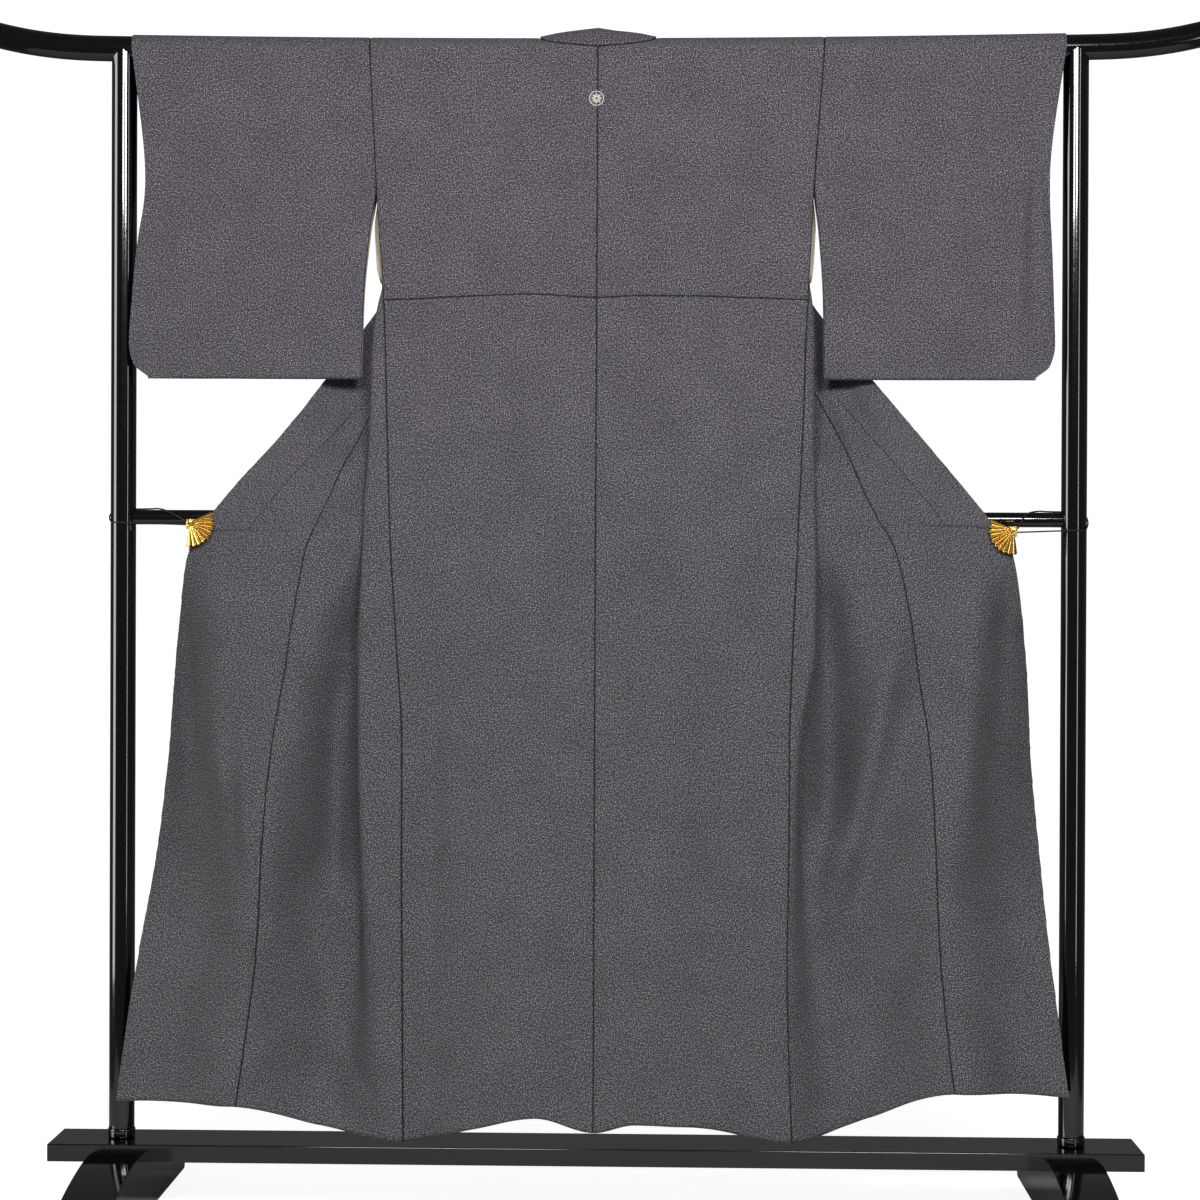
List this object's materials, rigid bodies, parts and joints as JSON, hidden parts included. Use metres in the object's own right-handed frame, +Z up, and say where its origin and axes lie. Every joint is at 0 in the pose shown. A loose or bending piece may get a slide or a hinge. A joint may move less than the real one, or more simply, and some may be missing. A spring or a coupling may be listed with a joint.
{
  "type": "kimono on a display stand",
  "caption": "Grey women's kimono hung by its shoulders over the bar of a black lacquered display stand, its fronts drawn out sideways by folding-fan clips on elastic cords.",
  "frame": {"origin": "on the floor, under the middle of the stand", "axes": "+X along the stand's bars, towards the picture's right; -Y is the side that the picture shows, the outside of the kimono's back; +Z up"},
  "size_m": [1.8512, 0.58, 1.718],
  "materials": {
    "silk": "matt, fine speckle",
    "lining": "soft sheen",
    "lacquer": "black lacquer, high gloss",
    "gilt_brass": "satin",
    "elastic": "braided, matt"
  },
  "bodies": {
    "root": {"body_left": "silk", "body_right": "silk", "overlap_left": "silk", "overlap_right": "silk", "sleeve_left": "silk", "sleeve_right": "silk", "collar": "silk", "over_collar": "silk", "lining_left": "lining", "lining_right": "lining", "top_bar": "lacquer", "post_left": "lacquer", "post_right": "lacquer", "post_ring_left": "lacquer", "post_ring_right": "lacquer", "mid_bar": "lacquer", "base_plank": "lacquer", "foot_left": "lacquer", "foot_right": "lacquer", "clip_left": "gilt_brass", "clip_right": "gilt_brass", "fan_left": "gilt_brass", "fan_right": "gilt_brass", "knob_left": "gilt_brass", "knob_right": "gilt_brass", "elastic_left": "elastic", "elastic_right": "elastic"}
  },
  "joints": []
}
